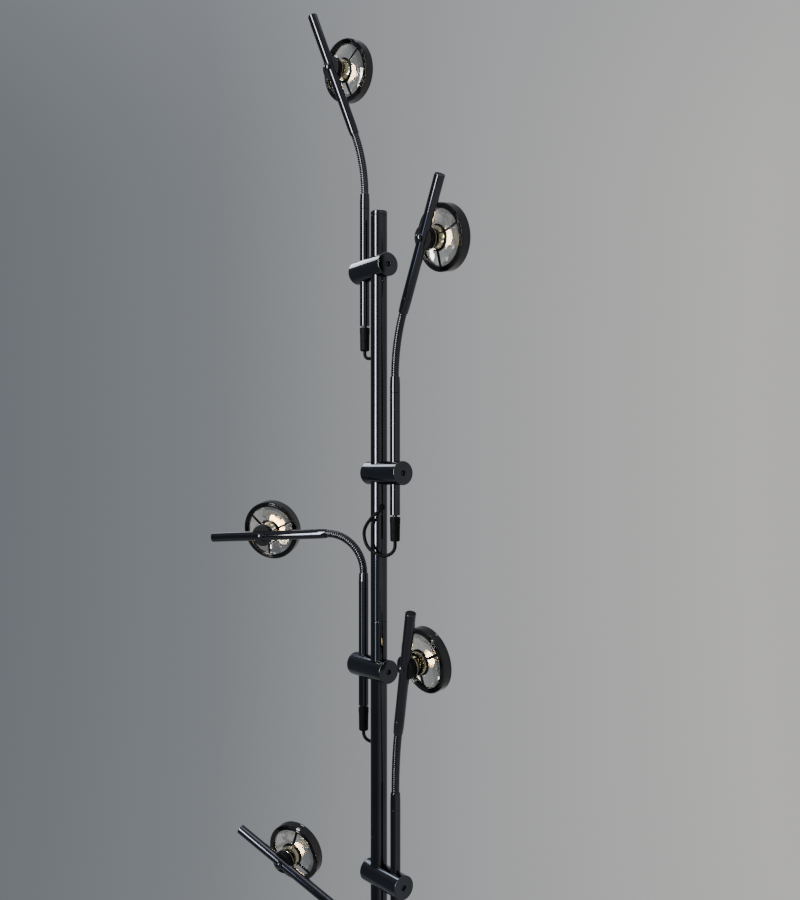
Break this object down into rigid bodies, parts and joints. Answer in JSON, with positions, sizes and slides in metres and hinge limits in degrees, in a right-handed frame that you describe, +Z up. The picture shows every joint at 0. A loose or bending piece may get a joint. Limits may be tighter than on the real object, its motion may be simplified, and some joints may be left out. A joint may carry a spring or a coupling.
{
  "type": "floor lamp",
  "caption": "Tall floor lamp: a thin pole on a round base carries clamped gooseneck arms, each with a tube head and a round glass lens in a ring.",
  "frame": {"origin": "centre of the floor pad's underside, on the pole's axis", "axes": "+Z up the pole; the picture looks along +Y with +X to its right"},
  "size_m": [0.3686, 0.3, 1.7348],
  "materials": {
    "black_nickel": "polished black nickel plate",
    "black_chrome": "black chrome, ribbed",
    "ring_black": "gloss black anodised",
    "polished_nickel": "polished nickel with a warm tint",
    "clear_glass": "clear optical glass",
    "black_rubber": "matt moulded rubber",
    "steel": "turned zinc-plated steel",
    "pad_foam": "matt foam rubber"
  },
  "bodies": {
    "root": {"floor_pad": "pad_foam", "base_plate": "black_nickel", "foot_bolt": "steel", "pole_lower": "black_nickel", "pole_middle": "black_nickel", "pole_upper": "black_nickel", "joiner_lower": "steel", "joiner_upper": "steel", "pole_cap": "black_nickel", "cable_gland": "black_rubber", "grommet_1": "black_rubber", "grommet_2": "black_rubber", "grommet_3": "black_rubber", "grommet_4": "black_rubber", "grommet_5": "black_rubber"},
    "clamp_1": {"clamp_1": "black_nickel"},
    "stem_1": {"stem_tube_1": "black_nickel", "plug_1": "black_rubber", "lead_1": "black_rubber"},
    "neck_1": {"gooseneck_1": "black_chrome"},
    "head_1": {"head_tube_1": "black_nickel", "lamp_socket_1": "polished_nickel", "lens_ring_1": "ring_black", "lens_1": "clear_glass"},
    "clamp_2": {"clamp_2": "black_nickel"},
    "stem_2": {"stem_tube_2": "black_nickel", "plug_2": "black_rubber", "lead_2": "black_rubber"},
    "neck_2": {"gooseneck_2": "black_chrome"},
    "head_2": {"head_tube_2": "black_nickel", "lamp_socket_2": "polished_nickel", "lens_ring_2": "ring_black", "lens_2": "clear_glass"},
    "clamp_3": {"clamp_3": "black_nickel"},
    "stem_3": {"stem_tube_3": "black_nickel", "plug_3": "black_rubber", "lead_3": "black_rubber"},
    "neck_3": {"gooseneck_3": "black_chrome"},
    "head_3": {"head_tube_3": "black_nickel", "lamp_socket_3": "polished_nickel", "lens_ring_3": "ring_black", "lens_3": "clear_glass"},
    "clamp_4": {"clamp_4": "black_nickel"},
    "stem_4": {"stem_tube_4": "black_nickel", "plug_4": "black_rubber", "lead_4": "black_rubber"},
    "neck_4": {"gooseneck_4": "black_chrome"},
    "head_4": {"head_tube_4": "black_nickel", "lamp_socket_4": "polished_nickel", "lens_ring_4": "ring_black", "lens_4": "clear_glass"},
    "clamp_5": {"clamp_5": "black_nickel"},
    "stem_5": {"stem_tube_5": "black_nickel", "plug_5": "black_rubber", "lead_5": "black_rubber"},
    "neck_5": {"gooseneck_5": "black_chrome"},
    "head_5": {"head_tube_5": "black_nickel", "lamp_socket_5": "polished_nickel", "lens_ring_5": "ring_black", "lens_5": "clear_glass"}
  },
  "joints": [
    {"name": "clamp_swing_1", "type": "hinge", "parent": "root", "child": "clamp_1", "pos_m": [0, 0, 1.41285], "axis": [0, 0, 1], "range_deg": [-30, 30]},
    {"name": "stem_slide_1", "type": "slide", "parent": "clamp_1", "child": "stem_1", "axis": [0, 0, 1], "range_m": [-0.02, 0.004], "deforming": ["lead_1"]},
    {"name": "stem_twist_1", "type": "hinge", "parent": "stem_1", "child": "neck_1", "pos_m": [-0.01789, 0.02653, 1.50711], "axis": [0, 0, 1], "range_deg": [-40, 40]},
    {"name": "neck_bend_1", "type": "hinge", "parent": "neck_1", "child": "head_1", "pos_m": [-0.02107, 0.02744, 1.54492], "axis": [-0.2756, -0.9613, 0], "range_deg": [-20, 50], "deforming": ["gooseneck_1"]},
    {"name": "clamp_swing_2", "type": "hinge", "parent": "root", "child": "clamp_2", "pos_m": [0, 0, 1.16741], "axis": [0, 0, 1], "range_deg": [-45, 45]},
    {"name": "stem_slide_2", "type": "slide", "parent": "clamp_2", "child": "stem_2", "axis": [0, 0, 1], "range_m": [-0.03, 0.03], "deforming": ["lead_2"]},
    {"name": "stem_twist_2", "type": "hinge", "parent": "stem_2", "child": "neck_2", "pos_m": [0.01926, -0.02556, 1.27942], "axis": [0, 0, 1], "range_deg": [-40, 40]},
    {"name": "neck_bend_2", "type": "hinge", "parent": "neck_2", "child": "head_2", "pos_m": [0.02166, -0.0307, 1.31685], "axis": [0.9063, 0.4226, 0], "range_deg": [-34, 50], "deforming": ["gooseneck_2"]},
    {"name": "clamp_swing_3", "type": "hinge", "parent": "root", "child": "clamp_3", "pos_m": [0, 0, 0.93365], "axis": [0, 0, 1], "range_deg": [-30, 30]},
    {"name": "stem_slide_3", "type": "slide", "parent": "clamp_3", "child": "stem_3", "axis": [0, 0, 1], "range_m": [-0.02, 0.004], "deforming": ["lead_3"]},
    {"name": "stem_twist_3", "type": "hinge", "parent": "stem_3", "child": "neck_3", "pos_m": [-0.01926, 0.02556, 1.04566], "axis": [0, 0, 1], "range_deg": [-40, 40]},
    {"name": "neck_bend_3", "type": "hinge", "parent": "neck_3", "child": "head_3", "pos_m": [-0.03297, 0.03055, 1.07962], "axis": [-0.342, -0.9397, 0], "range_deg": [-75, 12], "deforming": ["gooseneck_3"]},
    {"name": "clamp_swing_4", "type": "hinge", "parent": "root", "child": "clamp_4", "pos_m": [0, 0, 0.68966], "axis": [0, 0, 1], "range_deg": [-45, 45]},
    {"name": "stem_slide_4", "type": "slide", "parent": "clamp_4", "child": "stem_4", "axis": [0, 0, 1], "range_m": [-0.03, 0.03], "deforming": ["lead_4"]},
    {"name": "stem_twist_4", "type": "hinge", "parent": "stem_4", "child": "neck_4", "pos_m": [0.0197, -0.02522, 0.79528], "axis": [0, 0, 1], "range_deg": [-40, 40]},
    {"name": "neck_bend_4", "type": "hinge", "parent": "neck_4", "child": "head_4", "pos_m": [0.02053, -0.02909, 0.833], "axis": [0.9781, 0.2079, 0], "range_deg": [-24, 50], "deforming": ["gooseneck_4"]},
    {"name": "clamp_swing_5", "type": "hinge", "parent": "root", "child": "clamp_5", "pos_m": [0, 0, 0.45517], "axis": [0, 0, 1], "range_deg": [-30, 30]},
    {"name": "stem_slide_5", "type": "slide", "parent": "clamp_5", "child": "stem_5", "axis": [0, 0, 1], "range_m": [-0.02, 0.004], "deforming": ["lead_5"]},
    {"name": "stem_twist_5", "type": "hinge", "parent": "stem_5", "child": "neck_5", "pos_m": [-0.01926, 0.02556, 0.56789], "axis": [0, 0, 1], "range_deg": [-40, 40]},
    {"name": "neck_bend_5", "type": "hinge", "parent": "neck_5", "child": "head_5", "pos_m": [-0.02835, 0.0298, 0.60406], "axis": [-0.4226, -0.9063, 0], "range_deg": [-45, 40], "deforming": ["gooseneck_5"]}
  ]
}
